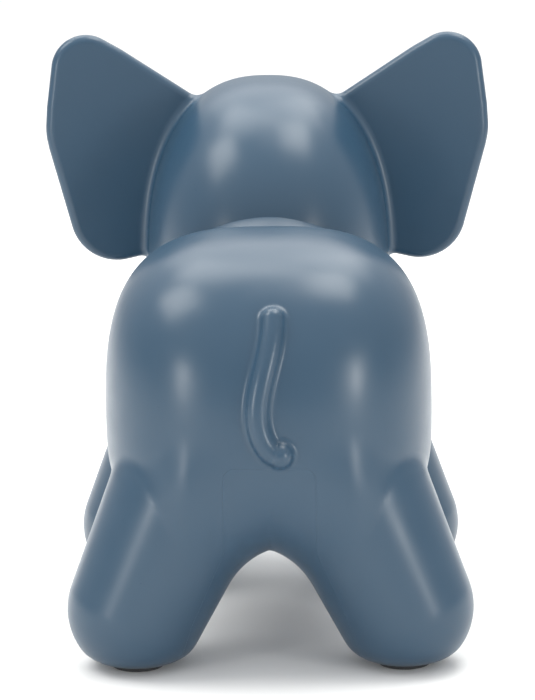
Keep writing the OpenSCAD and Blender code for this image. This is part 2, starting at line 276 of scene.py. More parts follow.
def on_rump(x, z):
    """The point of the rump's rear at this x and z, TAIL_SINK deep."""
    height = (z - RUMP[2]) / (RUMP_UP if z > RUMP[2] else RUMP_DOWN)
    section = abs(x / RUMP_SIDE) ** RUMP_POWER + abs(height) ** RUMP_POWER
    return (x, RUMP_REAR * ridge(section ** (1 / RUMP_POWER), DEPTH_POWER) - TAIL_SINK, z)


TAIL = [on_rump(x, z) + (TAIL_R,) for x, z in tail_line()]
TAIL[-1] = TAIL[-1][:3] + (TAIL_R + TAIL_KNOB,)


def tail_field(p):
    near = (np.abs(p[:, 0]) < TAIL_HALF_REACH) & (p[:, 1] > TAIL_BEHIND)
    return only_near(near, lambda q: chain(q, TAIL), p)


def torso_and_legs(p, grow=0.0):
    return blend(torso_field(p, grow), legs_field(p, grow), hip_blend(p))


def body_field(p):
    body = blend(torso_and_legs(p), tail_field(p), TAIL_BLEND)
    return carve(body, p[:, 2] - SOLE, SOLE_EDGE)


def trunk_at(share):
    """[y, z] of the trunk's middle line: it drops, then curls forward near its tip."""
    turn = math.sin(share * math.pi / 2)
    y = TRUNK_ROOT[0] - TRUNK_REACH * (0.5 * turn + 0.5 * share ** 5)
    z = TRUNK_ROOT[1] + (TIP_Z - TRUNK_ROOT[1]) * turn
    return y, z


def trunk_stations(count=22):
    return [(0.0, *trunk_at(t), TRUNK_R + (TIP_R - TRUNK_R) * t) for t in np.linspace(0, 1, count)]


TRUNK = trunk_stations()


def trunk_field(p, grow=0.0):
    grown = [s[:3] + (s[3] + grow,) for s in TRUNK]
    near = (np.abs(p[:, 0]) < TRUNK_HALF_REACH) & (p[:, 1] < HEAD[1] + TRUNK_BEHIND)
    return only_near(near, lambda q: chain(q, grown), p)


def ear_local(p):
    """Points in the plane of the ear on their own side: outward, up, and across its thickness."""
    side = np.where(p[:, 0] >= 0, 1.0, -1.0)
    x = np.abs(p[:, 0]) - HEAD_HALF[0]
    y = p[:, 1] - HEAD[1]
    c, s = math.cos(EAR_SWEEP), math.sin(EAR_SWEEP)
    return np.stack([x * c + y * s, p[:, 2] - HEAD[2], (y * c - x * s) * side], axis=1)


def ear_outline(u, w, directions=96):
    """Distance to the convex outline round the ear's corner circles."""
    out = np.full(len(u), -OUT_OF_REACH)
    for a in np.linspace(0, 2 * math.pi, directions, endpoint=False):
        dx, dz = math.cos(a), math.sin(a)
        reach = max(c[0] * dx + c[1] * dz + c[2] for c in EAR_CORNERS)
        np.maximum(out, u * dx + w * dz - reach, out=out)
    return out


def ear_plate(q):
    """Flat plate over the ear's outline, with a full round edge."""
    edge = ear_outline(q[:, 0], q[:, 1]) + EAR_HALF_T
    rim = np.hypot(np.maximum(edge, 0), q[:, 2]) - EAR_HALF_T
    flat = np.abs(q[:, 2]) - EAR_HALF_T
    return np.where(edge < 0, flat, rim)


def ear_field(p):
    q = ear_local(p)
    near = (np.abs(q[:, 2]) < EAR_HALF_REACH) & (q[:, 0] > EAR_INWARD)
    return only_near(near, ear_plate, q)


def head_field(p, grow=0.0):
    half = [h + grow for h in HEAD_HALF]
    return blend(lobe(p, HEAD, half, HEAD_POWER, HEAD_POWER), trunk_field(p, grow), TRUNK_BLEND)


def head_and_ears(p):
    return blend(head_field(p), ear_field(p), EAR_BLEND)


# ---------------------------------------------------------------- meshes from fields

# Grid cells along each side of the blocks that are searched for the surface
BLOCK = 8
# The farthest that rounded corners may pull a surface away from its fields
SLACK = 4
CELL_CORNERS = [(i, j, k) for i in (0, 1) for j in (0, 1) for k in (0, 1)]


def in_chunks(field, points, size=400000):
    return np.concatenate([field(points[i:i + size]) for i in range(0, len(points), size)])


def per_cell(values):
    """Block values repeated for each grid cell of the block."""
    for axis in range(3):
        values = np.repeat(values, BLOCK, axis=axis)
    return values


def sample(field, low, step, blocks):
    """The field on a grid, worked out only in blocks that the surface may cross."""
    index = np.stack(np.meshgrid(*[np.arange(b) for b in blocks], indexing="ij"), -1).reshape(-1, 3)
    middle = in_chunks(field, low + (index + 0.5) * BLOCK * step).reshape(blocks)
    busy = np.abs(middle) < BLOCK * step * 1.5 + SLACK
    size = tuple(b * BLOCK + 1 for b in blocks)
    values = np.ones(size)
    values[:-1, :-1, :-1] = np.where(per_cell(middle) < 0, -OUT_OF_REACH, OUT_OF_REACH)
    wanted = np.zeros(size, bool)
    full = per_cell(busy)
    for i, j, k in CELL_CORNERS:
        part = wanted[i:i + full.shape[0], j:j + full.shape[1], k:k + full.shape[2]]
        np.logical_or(part, full, out=part)
    where = np.argwhere(wanted)
    values[wanted] = in_chunks(field, low + where * step)
    return values


def crossed_cells(inside):
    """The grid cells with corners both inside and outside, and the number of each, or -1, on the grid."""
    size = inside.shape
    count = np.zeros([s - 1 for s in size], np.int8)
    for i, j, k in CELL_CORNERS:
        count += inside[i:size[0] - 1 + i, j:size[1] - 1 + j, k:size[2] - 1 + k]
    cells = np.argwhere((count > 0) & (count < 8))
    number = np.full(count.shape, -1, np.int64)
    number[tuple(cells.T)] = np.arange(len(cells))
    return cells, number


def cell_points(values, cells):
    """For each cell, the middle of the places where its edges cross the surface, in cells."""
    total = np.zeros((len(cells), 3))
    hits = np.zeros(len(cells))
    for a in CELL_CORNERS:
        for axis in range(3):
            if a[axis]:
                continue
            b = tuple(v + (n == axis) for n, v in enumerate(a))
            va = values[tuple((cells + a).T)]
            vb = values[tuple((cells + b).T)]
            crossed = (va < 0) != (vb < 0)
            t = va[crossed] / (va[crossed] - vb[crossed])
            total[crossed] += np.asarray(a) + np.outer(t, np.eye(3)[axis])
            hits[crossed] += 1
    return cells + total / hits[:, None]


def cell_faces(inside, number):
    """Triangles between the points of the four cells round each grid edge that crosses the surface."""
    size = inside.shape
    quads = []
    for axis in range(3):
        u, v = (axis + 1) % 3, (axis + 2) % 3
        ahead = [slice(None)] * 3
        ahead[axis] = slice(1, None)
        behind = [slice(None)] * 3
        behind[axis] = slice(None, -1)
        change = inside[tuple(behind)] != inside[tuple(ahead)]
        at = np.argwhere(change)
        at = at[(at[:, u] > 0) & (at[:, v] > 0) & (at[:, u] < size[u] - 1) & (at[:, v] < size[v] - 1)]
        ring = []
        for du, dv in ((-1, -1), (0, -1), (0, 0), (-1, 0)):
            cell = at.copy()
            cell[:, u] += du
            cell[:, v] += dv
            ring.append(number[tuple(cell.T)])
        quad = np.stack(ring, axis=1)
        outward = inside[tuple(at.T)]
        quads.append(np.where(outward[:, None], quad, quad[:, ::-1]))
    quads = np.concatenate(quads)
    return np.concatenate([quads[:, [0, 1, 2]], quads[:, [0, 2, 3]]])


def surface_net(field, low, high, step):
    """Closed triangle mesh of the field's zero surface."""
    low = np.asarray(low, float)
    blocks = tuple(int(math.ceil((h - l) / step / BLOCK)) for l, h in zip(low, high))
    values = sample(field, low, step, blocks)
    inside = values < 0
    cells, number = crossed_cells(inside)
    return low + cell_points(values, cells) * step, cell_faces(inside, number)


def gradient(field, points, reach=0.02):
    """Steepest way out of the field, and the field itself, from four probes."""
    probes = np.array(((1, 1, 1), (1, -1, -1), (-1, 1, -1), (-1, -1, 1)), float)
    values = [in_chunks(field, points + d * reach) for d in probes]
    slope = sum(np.outer(v, d) for v, d in zip(values, probes)) / (4 * reach)
    return slope, sum(values) / 4


def settle(field, points, rounds=4):
    """Moves points onto the zero surface."""
    for _ in range(rounds):
        slope, value = gradient(field, points)
        size2 = np.maximum(np.einsum("ij,ij->i", slope, slope), 0.05)
        move = value / size2
        points = points - np.clip(move, -1.0, 1.0)[:, None] * slope
    return points


def even_out(points, tris, rounds=2):
    """Slides each point towards the middle of its neighbours."""
    ends = np.concatenate([tris[:, [0, 1]], tris[:, [1, 2]], tris[:, [2, 0]]])
    for _ in range(rounds):
        total = np.zeros_like(points)
        for axis in range(3):
            total[:, axis] = np.bincount(ends[:, 0], points[ends[:, 1], axis], len(points))
            total[:, axis] += np.bincount(ends[:, 1], points[ends[:, 0], axis], len(points))
        count = np.bincount(ends.ravel(), minlength=len(points))
        points = points * 0.5 + total / count[:, None] * 0.5
    return points


def refine(points, tris, marked):
    """Splits the marked triangles in four, and their neighbours to match."""
    pairs = np.sort(np.stack([tris, np.roll(tris, -1, axis=1)], axis=2), axis=2).reshape(-1, 2)
    keys, inverse = np.unique(pairs[:, 0] * len(points) + pairs[:, 1], return_inverse=True)
    inverse = inverse.reshape(-1, 3)
    split = np.zeros(len(keys), bool)
    split[inverse[marked].ravel()] = True
    middle = np.where(split, np.cumsum(split) - 1 + len(points), -1)
    ends = np.stack([keys // len(points), keys % len(points)], axis=1)[split]
    m = middle[inverse]
    count = (m >= 0).sum(1)
    out = [tris[count == 0]]
    t, k = tris[count == 3], m[count == 3]
    out += [np.stack(c, 1) for c in ((t[:, 0], k[:, 0], k[:, 2]), (k[:, 0], t[:, 1], k[:, 1]),
                                     (k[:, 2], k[:, 1], t[:, 2]), (k[:, 0], k[:, 1], k[:, 2]))]
    for turn in range(3):
        t, k = np.roll(tris, -turn, axis=1), np.roll(m, -turn, axis=1)
        one = (count == 1) & (k[:, 0] >= 0)
        a, b, c, p = t[one, 0], t[one, 1], t[one, 2], k[one, 0]
        out += [np.stack((a, p, c), 1), np.stack((p, b, c), 1)]
        two = (count == 2) & (k[:, 2] < 0)
        a, b, c, p, q = t[two, 0], t[two, 1], t[two, 2], k[two, 0], k[two, 1]
        out += [np.stack((a, p, c), 1), np.stack((p, q, c), 1), np.stack((p, b, q), 1)]
    return np.concatenate([points, points[ends].mean(1)]), np.concatenate(out)


def skin(field, low, high, step, finer=None, rounds=0):
    """Mesh of a field, finer where the function finer says so."""
    points, tris = surface_net(field, low, high, step)
    points = settle(field, even_out(settle(field, points, 3), tris))
    for _ in range(rounds):
        marked = finer(points[tris].mean(1))
        if not marked.any():
            break
        points, tris = refine(points, tris, marked)
        points = settle(field, points, 2)
    return points, tris


def to_object(name, points, tris):
    """New object from points in millimetres, moved into the CAD frame."""
    mesh = bpy.data.meshes.new(name)
    placed = (points + (0.0, SHIFT_Y, 0.0)) * MM
    mesh.vertices.add(len(placed))
    mesh.vertices.foreach_set("co", placed.astype(np.float32).ravel())
    mesh.loops.add(len(tris) * 3)
    mesh.loops.foreach_set("vertex_index", tris.astype(np.int32).ravel())
    mesh.polygons.add(len(tris))
    mesh.polygons.foreach_set("loop_start", np.arange(0, len(tris) * 3, 3, dtype=np.int32))
    mesh.update(calc_edges=True)
    obj = bpy.data.objects.new(name, mesh)
    bpy.context.scene.collection.objects.link(obj)
    return obj


def from_bmesh(name, bm):
    """New object from a bmesh in millimetres, moved into the CAD frame."""
    mesh = bpy.data.meshes.new(name)
    for v in bm.verts:
        v.co = (v.co + Vector((0.0, SHIFT_Y, 0.0))) * MM
    bmesh.ops.recalc_face_normals(bm, faces=bm.faces[:])
    bm.to_mesh(mesh)
    bm.free()
    obj = bpy.data.objects.new(name, mesh)
    bpy.context.scene.collection.objects.link(obj)
    return obj


def turned(profile, name, segments=96, matrix=Matrix.Identity(4), closed=True):
    """Revolves [radius, height] points round the Z axis, then places the result."""
    bm = bmesh.new()
    rings = []
    for r, z in profile:
        if r < 1e-6:
            rings.append([bm.verts.new(matrix @ Vector((0, 0, z)))])
            continue
        ring = []
        for i in range(segments):
            a = 2 * math.pi * i / segments
            ring.append(bm.verts.new(matrix @ Vector((r * math.cos(a), r * math.sin(a), z))))
        rings.append(ring)
    pairs = list(zip(rings, rings[1:] + rings[:1])) if closed else list(zip(rings[:-1], rings[1:]))
    for low, high in pairs:
        if len(low) == 1 and len(high) == 1:
            continue
        for i in range(segments):
            k = (i + 1) % segments
            corner = [low[i % len(low)], low[k % len(low)], high[k % len(high)], high[i % len(high)]]
            bm.faces.new(list(dict.fromkeys(corner)))
    return from_bmesh(name, bm)


def drum(name, radius, low, high, segments=64, matrix=Matrix.Identity(4)):
    """Solid cylinder between two heights."""
    profile = [(0, low), (radius, low), (radius, high), (0, high)]
    return turned(profile, name, segments, matrix, closed=False)


def prism(name, outline, depth_low, depth_high, axis="y"):
    """Straight prism over an outline: of (x, z) points along Y, or of (x, y) points along Z."""
    bm = bmesh.new()
    ends = []
    for depth in (depth_low, depth_high):
        ends.append([bm.verts.new((a, depth, b) if axis == "y" else (a, b, depth)) for a, b in outline])
    bm.faces.new(ends[0])
    bm.faces.new(ends[1][::-1])
    count = len(outline)
    for i in range(count):
        k = (i + 1) % count
        bm.faces.new((ends[0][k], ends[0][i], ends[1][i], ends[1][k]))
    return from_bmesh(name, bm)


def block(name, low, high):
    """Solid box between two corners."""
    outline = [(low[0], low[2]), (high[0], low[2]), (high[0], high[2]), (low[0], high[2])]
    return prism(name, outline, low[1], high[1])


def copy_of(obj):
    twin = obj.copy()
    twin.data = obj.data.copy()
    bpy.context.scene.collection.objects.link(twin)
    return twin


def combine(obj, tool, how):
    """Cuts, joins or intersects a solid with another, in place, and discards the other."""
    mod = obj.modifiers.new("solid", "BOOLEAN")
    mod.operation = how
    mod.solver = "MANIFOLD"
    mod.object = tool
    graph = bpy.context.evaluated_depsgraph_get()
    mesh = bpy.data.meshes.new_from_object(obj.evaluated_get(graph))
    obj.modifiers.remove(mod)
    spent = (obj.data, tool.data)
    obj.data = mesh
    bpy.data.objects.remove(tool)
    for old in spent:
        bpy.data.meshes.remove(old)
    return obj


def cut(obj, tool):
    """Takes the tool away from the object."""
    return combine(obj, tool, "DIFFERENCE")


def read(items, attribute, kind, width=1):
    """One attribute of all the items, as an array."""
    values = np.zeros(len(items) * width, kind)
    items.foreach_get(attribute, values)
    return values


# A corner belongs to a field if it lies this near its surface, in mm, and its face turns little from it
ON_SURFACE = 0.06
LEAST_AGREEMENT = 0.8


def polish(obj, *fields):
    """Gives faces that lie on a field's surface the field's own smooth normals, and leaves cuts sharp."""
    mesh = obj.data
    bm = bmesh.new()
    bm.from_mesh(mesh)
    bmesh.ops.dissolve_degenerate(bm, edges=bm.edges[:], dist=2e-6)
    bmesh.ops.triangulate(bm, faces=[f for f in bm.faces if len(f.verts) > 4])
    bm.to_mesh(mesh)
    bm.free()
    co = read(mesh.vertices, "co", np.float32, 3)
    points = co.reshape(-1, 3).astype(float) / MM - (0.0, SHIFT_Y, 0.0)
    corner = read(mesh.loops, "vertex_index", np.int32)
    flat = read(mesh.polygons, "normal", np.float32, 3).reshape(-1, 3)
    normals = np.repeat(flat, read(mesh.polygons, "loop_total", np.int32), axis=0).astype(float)
    for field, sign in fields:
        slope, value = gradient(field, points)
        size = np.maximum(np.linalg.norm(slope, axis=1), 1e-9)
        unit = slope / size[:, None] * sign
        close = np.abs(value) / size < ON_SURFACE
        agree = np.einsum("ij,ij->i", unit[corner], normals) > LEAST_AGREEMENT
        use = close[corner] & agree
        normals[use] = unit[corner][use]
    mesh.polygons.foreach_set("use_smooth", np.ones(len(mesh.polygons), bool))
    mesh.normals_split_custom_set(normals)
    return obj


def crisp(obj, angle=30.0):
    """Smooth shading that keeps every edge sharper than the angle."""
    obj.data.polygons.foreach_set("use_smooth", np.ones(len(obj.data.polygons), bool))
    obj.data.set_sharp_from_angle(angle=math.radians(angle))
    return obj


def soften(corners, closed=True, steps=6):
    """Outline through [x, y, radius] corners, each rounded by its own radius."""
    out = []
    for i, (x, y, r) in enumerate(corners):
        if r == 0 or (not closed and i in (0, len(corners) - 1)):
            out.append((x, y))
            continue
        point = np.array((x, y), float)
        a = np.array(corners[i - 1][:2]) - point
        b = np.array(corners[(i + 1) % len(corners)][:2]) - point
        a /= np.linalg.norm(a)
        b /= np.linalg.norm(b)
        half = math.acos(np.clip(a @ b, -1, 1)) / 2
        centre = point + (a + b) / np.linalg.norm(a + b) * r / math.sin(half)
        start = point + a * r / math.tan(half) - centre
        end = point + b * r / math.tan(half) - centre
        turn = math.pi - 2 * half
        for t in np.linspace(0, 1, steps + 1):
            spoke = (start * math.sin((1 - t) * turn) + end * math.sin(t * turn)) / math.sin(turn)
            out.append(tuple(centre + spoke))
    return out


# ---------------------------------------------------------------- materials

# Most of a noise texture's values lie between these two
NOISE_LOW = 0.3
NOISE_HIGH = 0.7
# Pointiness at which an edge starts to look worn, and at which it is worn fully
EDGE_START = 0.52
EDGE_FULL = 0.62


def tinted(colour, factor, lift=0.0):
    """A colour made lighter or darker, as a node's socket takes it."""
    return tuple(min(1.0, c * factor + lift) for c in colour) + (1.0,)


def node_material(name, colour, rough, drifts=0.10, grain=0.05, wear=0.25):
    """Moulded plastic or rubber: slow drifts of colour, fine grain in the gloss, and worn edges."""
    mat = bpy.data.materials.new(name)
    mat.use_nodes = True
    nodes, links = mat.node_tree.nodes, mat.node_tree.links
    shader = nodes["Principled BSDF"]
    shader.inputs["Specular IOR Level"].default_value = 0.5

    def add(kind, **inputs):
        node = nodes.new(kind)
        for key, value in inputs.items():
            node.inputs[key.replace("_", " ")].default_value = value
        return node

    def ramp(source, low, high, at_low, at_high):
        node = add("ShaderNodeMapRange", From_Min=low, From_Max=high, To_Min=at_low, To_Max=at_high)
        links.new(source, node.inputs["Value"])
        return node.outputs["Result"]

    def mixed(at_none, at_full, amount):
        node = nodes.new("ShaderNodeMix")
        node.data_type = "RGBA"
        for socket, value in ((6, at_none), (7, at_full)):
            if isinstance(value, tuple):
                node.inputs[socket].default_value = value
            else:
                links.new(value, node.inputs[socket])
        links.new(amount, node.inputs[0])
        return node.outputs[2]

    def sum_or_product(operation, first, second):
        node = nodes.new("ShaderNodeMath")
        node.operation = operation
        links.new(first, node.inputs[0])
        links.new(second, node.inputs[1])
        return node.outputs[0]

    position = nodes.new("ShaderNodeTexCoord")
    drift = add("ShaderNodeTexNoise", Scale=14.0, Detail=3.0, Roughness=0.55)
    cloud = add("ShaderNodeTexNoise", Scale=90.0, Detail=5.0, Roughness=0.6)
    fine = add("ShaderNodeTexNoise", Scale=2600.0, Detail=2.0, Roughness=0.5)
    scuffs = add("ShaderNodeTexNoise", Scale=260.0, Detail=6.0, Roughness=0.7)
    for texture in (drift, cloud, fine, scuffs):
        links.new(position.outputs["Object"], texture.inputs["Vector"])

    amount = ramp(drift.outputs["Fac"], NOISE_LOW, NOISE_HIGH, 0.15, 0.85)
    shade = mixed(tinted(colour, 1 - drifts), tinted(colour, 1 + drifts), amount)

    geometry = nodes.new("ShaderNodeNewGeometry")
    edge = ramp(geometry.outputs["Pointiness"], EDGE_START, EDGE_FULL, 0.0, wear)
    patches = ramp(scuffs.outputs["Fac"], 0.35, NOISE_HIGH, 0.2, 1.0)
    worn = mixed(shade, tinted(colour, 1.5, 0.02), sum_or_product("MULTIPLY", edge, patches))
    links.new(worn, shader.inputs["Base Color"])

    smears = ramp(cloud.outputs["Fac"], NOISE_LOW, NOISE_HIGH, rough - 0.02, rough + 0.03)
    specks = ramp(fine.outputs["Fac"], NOISE_LOW, NOISE_HIGH, -0.02, 0.02)
    links.new(sum_or_product("ADD", smears, specks), shader.inputs["Roughness"])

    bump = add("ShaderNodeBump", Strength=grain, Distance=0.0001)
    links.new(fine.outputs["Fac"], bump.inputs["Height"])
    links.new(bump.outputs["Normal"], shader.inputs["Normal"])
    return mat


BLUE = (0.0215, 0.055, 0.095)
# Painted light: the ears use the body's blue made 5% lighter, a lit copy of the same plastic that stands in
# for how light falls on them
EAR_BLUE_PAINTED_LIGHTER = tuple(c * 1.05 for c in BLUE)
TRIM_BLUE = tuple(c * 0.8 for c in BLUE)
EYE_BLACK = (0.012, 0.013, 0.016)
STOPPER_BLACK = (0.040, 0.045, 0.052)
PAD_BLACK = (0.032, 0.034, 0.038)
MATERIALS = {
    "body_plastic": node_material("body_plastic", BLUE, 0.31, drifts=0.03, wear=0.12),
    "ear_plastic": node_material("ear_plastic", EAR_BLUE_PAINTED_LIGHTER, 0.33, drifts=0.03, wear=0.12),
    "trim_plastic": node_material("trim_plastic", TRIM_BLUE, 0.48, drifts=0.05, grain=0.2),
    "eye_plastic": node_material("eye_plastic", EYE_BLACK, 0.10, drifts=0.1, grain=0.02),
    "stopper_rubber": node_material("stopper_rubber", STOPPER_BLACK, 0.60, drifts=0.12, grain=0.5),
    "pad_rubber": node_material("pad_rubber", PAD_BLACK, 0.66, drifts=0.15, grain=0.6),
}


def place(obj, name, slot, body="body"):
    """Gives a finished piece its name, material and body, in place of its CAD node."""
    obj.name = name
    obj.data.name = name
    obj.data.materials.clear()
    obj.data.materials.append(MATERIALS[slot])
    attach(obj, body)
    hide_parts(name.removesuffix("_mould"))
    return obj


# ---------------------------------------------------------------- cutters shared by the shells

FAR = 400.0
HAIRLINE = 0.03
# Grid steps of the meshes, in mm
BODY_STEP = 1.55
HEAD_STEP = 1.6
BODY_HOLLOW_STEP = 3.2
HEAD_HOLLOW_STEP = 3.0
BODY_ROOM_STEP = 2.4

STRIP_HALF = 15.5
SEAM_TOP = BELLY + 37.0
SEAM_CROTCH = BELLY + 5.0
SEAM_KNEE = (FOOT_X - FOOT_R + 5.0, FOOT_Z - 3.0)
PAD_R = 9.0
PAD_T = 3.0
PAD_PLAY = 0.15
SEAM_TOE = FOOT_X - PAD_R - 4.0

STOPPER_R = 17.0
SEAT_R = STOPPER_R + 2.4
FLANGE_R = SEAT_R + 5.0
FLANGE_T = 2.0
SEAT_H = 8.0
LAND_R = FLANGE_R + 0.4
LAND_Z = BELLY + 4.4
BOSS_R = LAND_R + 2.4
BOSS_TOP = LAND_Z + 3.6
SEAT_PLAY = 0.15
APRON_R = LAND_R + 3.0
APRON_TOP = BELLY + 9.0
FOOT_FLOOR = PAD_T + WALL
AT_STOPPER = Matrix.Translation((0, LEGS_Y, 0))


def neck_frame():
    """Neck coordinates: +Z runs forward along the neck, and the origin is on its middle line."""
    turn = Matrix.Rotation(math.radians(90) - NECK_TILT, 4, "X")
    return Matrix.Translation((0, NECK_TOP[0], NECK_TOP[1])) @ turn @ Matrix.Translation((0, -NECK_R, 0))


def strip_cutter(gap):
    """The strip between the two seams: straight sides that splay down the legs, and a round apron."""
    half = STRIP_HALF - gap
    right = [(half, SEAM_TOP - gap, 4.0), (half, SEAM_CROTCH, 6.0), (SEAM_KNEE[0] - gap, SEAM_KNEE[1], 6.0)]
    right.append((SEAM_TOE - gap, -1.0, 0))
    left = [(-x, z, r) for x, z, r in right[::-1]]
    strip = prism("strip", soften(right + left, steps=4), -FAR / 2, FAR / 2)
    apron = drum("apron", APRON_R - gap, -1, APRON_TOP, 96, AT_STOPPER)
    return combine(strip, apron, "UNION")


def neck_bore(play, front):
    """The round way through the neck, from behind the collar to a place in front of it."""
    return drum("bore", NECK_R + play, -NECK_REAR - 4, front, 128, neck_frame())


FEET = {
    "rear_left": (FOOT_X, LEGS_Y + FOOT_DY),
    "rear_right": (-FOOT_X, LEGS_Y + FOOT_DY),
    "front_left": (FOOT_X, LEGS_Y - FOOT_DY),
    "front_right": (-FOOT_X, LEGS_Y - FOOT_DY),
}

# ---------------------------------------------------------------- the coin slot

SLOT_LEN = 34.0
SLOT_W = 5.0
SLOT_RIM = 2.8
SLOT_PLAY = 0.2
RIM_T = 1.3
LINER_WALL = 1.2
LINER_H = 5.5
LINER_FOOT = LINER_H + RIM_T
RIM_FILLET = 0.45
MOUTH_FILLET = 0.6
SLOT_SINK = 0.6
SLOT_Y = -33.0
# How deep the hollow keeps away under the slot, and how far beyond its rim
SLOT_BOSS_T = 5.0
SLOT_BOSS_RIM = 1.0

# The straight back runs between these two [y, z] points, one on the rump and one on the chest
RUMP_RIDGE = (-RUMP_SHARE * RUMP_REAR, RUMP[2] + RUMP_UP * ridge(RUMP_SHARE, DEPTH_POWER))
CHEST_RIDGE = (
    CHEST[1] - CHEST_SHARE * CHEST_HALF[3],
    CHEST[2] + CHEST_HALF[2] * ridge(CHEST_SHARE, DEPTH_POWER),
)
SLOPE = (RUMP_RIDGE[1] - CHEST_RIDGE[1]) / (RUMP_RIDGE[0] - CHEST_RIDGE[0])
SLOT_Z = RUMP_RIDGE[1] + (SLOT_Y - RUMP_RIDGE[0]) * SLOPE - SLOT_SINK


def slot_outline(grow, corner):
    half_x, half_y = SLOT_LEN / 2 + grow, SLOT_W / 2 + grow
    box = [(half_x, -half_y), (half_x, half_y), (-half_x, half_y), (-half_x, -half_y)]
    return soften([(x, y, corner) for x, y in box])


def sloped(height):
    """A plane this far above the slope, as its height at the middle of the slot and its rise along Y."""
    return (SLOT_Z + height, SLOPE)


def level(height):
    """The same for a level plane."""
    return (height, 0.0)


def slot_loft(name, rings, closed):
    """Skins rings of [grow, corner, plane]."""
    bm = bmesh.new()
    loops = []
    for grow, corner, (height, rise) in rings:
        loop = []
        for x, y in slot_outline(grow, corner):
            loop.append(bm.verts.new((x, SLOT_Y + y, height + y * rise)))
        loops.append(loop)
    for low, high in zip(loops, loops[1:] + (loops[:1] if closed else [])):
        for i in range(len(low)):
            k = (i + 1) % len(low)
            bm.faces.new((low[i], low[k], high[k], high[i]))
    if not closed:
        bm.faces.new(loops[0])
        bm.faces.new(loops[-1])
    return from_bmesh(name, bm)


def slot_pocket():
    rim = SLOT_RIM + SLOT_PLAY
    sleeve = LINER_WALL + SLOT_PLAY
    pocket = slot_loft("pocket", [(rim, 2.2, sloped(-RIM_T)), (rim, 2.2, level(200.0))], False)
    shaft = slot_loft("shaft", [(sleeve, 1.4, level(RUMP[2])), (sleeve, 1.4, level(190.0))], False)
    return combine(pocket, shaft, "UNION")


def slot_liner():
    foot, under_rim = level(SLOT_Z - LINER_FOOT), sloped(-RIM_T)
    rings = [(LINER_WALL, 1.2, foot), (LINER_WALL, 1.2, under_rim), (SLOT_RIM, 2.0, under_rim)]
    for a in np.radians((0, 30, 60, 90)):
        drop = RIM_FILLET * (1 - math.sin(a))
        rings.append((SLOT_RIM - RIM_FILLET * (1 - math.cos(a)), 2.0, sloped(-drop)))
    for a in np.radians((0, 25, 50, 70, 90)):
        drop = MOUTH_FILLET * (1 - math.cos(a))
        rings.append((MOUTH_FILLET * (1 - math.sin(a)), 0.5, sloped(-drop)))
    rings.append((0.0, 0.5, foot))
    return crisp(slot_loft("slot_liner", rings, True))


# ---------------------------------------------------------------- the body's two shells

# The tail and its surroundings, in mm: half its width, how far back it starts, and its heights
TAIL_ZONE_HALF = 16.0
TAIL_ZONE_Y = 40.0
TAIL_ZONE_LOW = 70.0
TAIL_ZONE_HIGH = 133.0
CREASE_ZONE = 2.5


def body_hollow(p):
    """The room inside the body: it leaves a floor in the feet, and bosses at the stopper and the slot."""
    inner = np.maximum(torso_and_legs(p, -WALL), FOOT_FLOOR - p[:, 2])
    boss = np.maximum(np.hypot(p[:, 0], p[:, 1] - LEGS_Y) - BOSS_R, p[:, 2] - BOSS_TOP)
    inner = carve(inner, boss, 2.0)
    slope = SLOT_Z + (p[:, 1] - SLOT_Y) * SLOPE - SLOT_BOSS_T
    beside_x = np.abs(p[:, 0]) - SLOT_LEN / 2 - SLOT_RIM - SLOT_BOSS_RIM
    beside_y = np.abs(p[:, 1] - SLOT_Y) - SLOT_W / 2 - SLOT_RIM - SLOT_BOSS_RIM
    return carve(inner, np.maximum(np.maximum(beside_x, beside_y), slope - p[:, 2]), 1.0)


def near_detail(p):
    """Where the body needs a finer mesh: round the tail and along the creases at the legs."""
    tail = (np.abs(p[:, 0]) < TAIL_ZONE_HALF) & (p[:, 1] > TAIL_ZONE_Y)
    tail &= (p[:, 2] > TAIL_ZONE_LOW) & (p[:, 2] < TAIL_ZONE_HIGH)
    crease = np.abs(torso_field(p) - legs_field(p)) < CREASE_ZONE
    return tail | crease


def build_body():
    low = (-72.0, LEGS_Y - FOOT_DY - FOOT_R - 2, -2.0)
    high = (72.0, RUMP_REAR + 8, RUMP_TOP + 3)
    step = BODY_STEP
    shell = to_object("shell", *skin(body_field, low, high, step, near_detail, DETAIL))
    cut(shell, to_object("hollow", *skin(body_hollow, low, high, BODY_HOLLOW_STEP)))
    cut(shell, neck_bore(GAP, FAR))
    for x, y in FEET.values():
        cut(shell, drum("recess", PAD_R + PAD_PLAY, -2.0, PAD_T, matrix=Matrix.Translation((x, y, 0))))
    cut(shell, slot_pocket())
    hole_r = SEAT_R + SEAT_PLAY
    steps = [(0, -2), (LAND_R, -2), (LAND_R, LAND_Z), (hole_r, LAND_Z), (hole_r, RUMP[2]), (0, RUMP[2])]
    cut(shell, turned(steps, "hole", 96, AT_STOPPER, closed=False))
    belly = combine(copy_of(shell), strip_cutter(HAIRLINE), "INTERSECT")
    cut(shell, strip_cutter(0.0))
    for obj, name in ((shell, "back_shell"), (belly, "belly_shell")):
        polish(obj, (body_field, 1.0), (body_hollow, -1.0))
        place(obj, name + "_mould", "body_plastic")


# ---------------------------------------------------------------- the head, its ears and the trunk

EYE_R = 5.6
EYE_DOME = 3.0
EYE_SEAT = 1.2
EYE_STEM_R = 2.4
EYE_STEM = 5.0
EYE_X = 24.0
EYE_UP = 24.0
EYE_PLAY = 0.15
STEM_PLAY = 0.1
STEM_BEVEL = 0.3

# The box of the head, ears and trunk: half its width, its heights, and how far it runs past the face
HEAD_BOX_HALF = 96.0
HEAD_BOX_LOW = 20.0
HEAD_BOX_HIGH = 206.0
HEAD_BOX_AHEAD = 46.0
EAR_ZONE = 7.0
SPLIT_R = 34.0
SPLIT_DEPTH = 60.0
# Where the neck's bore ends inside the head, from the neck's own origin
HEAD_BORE_END = 32.0


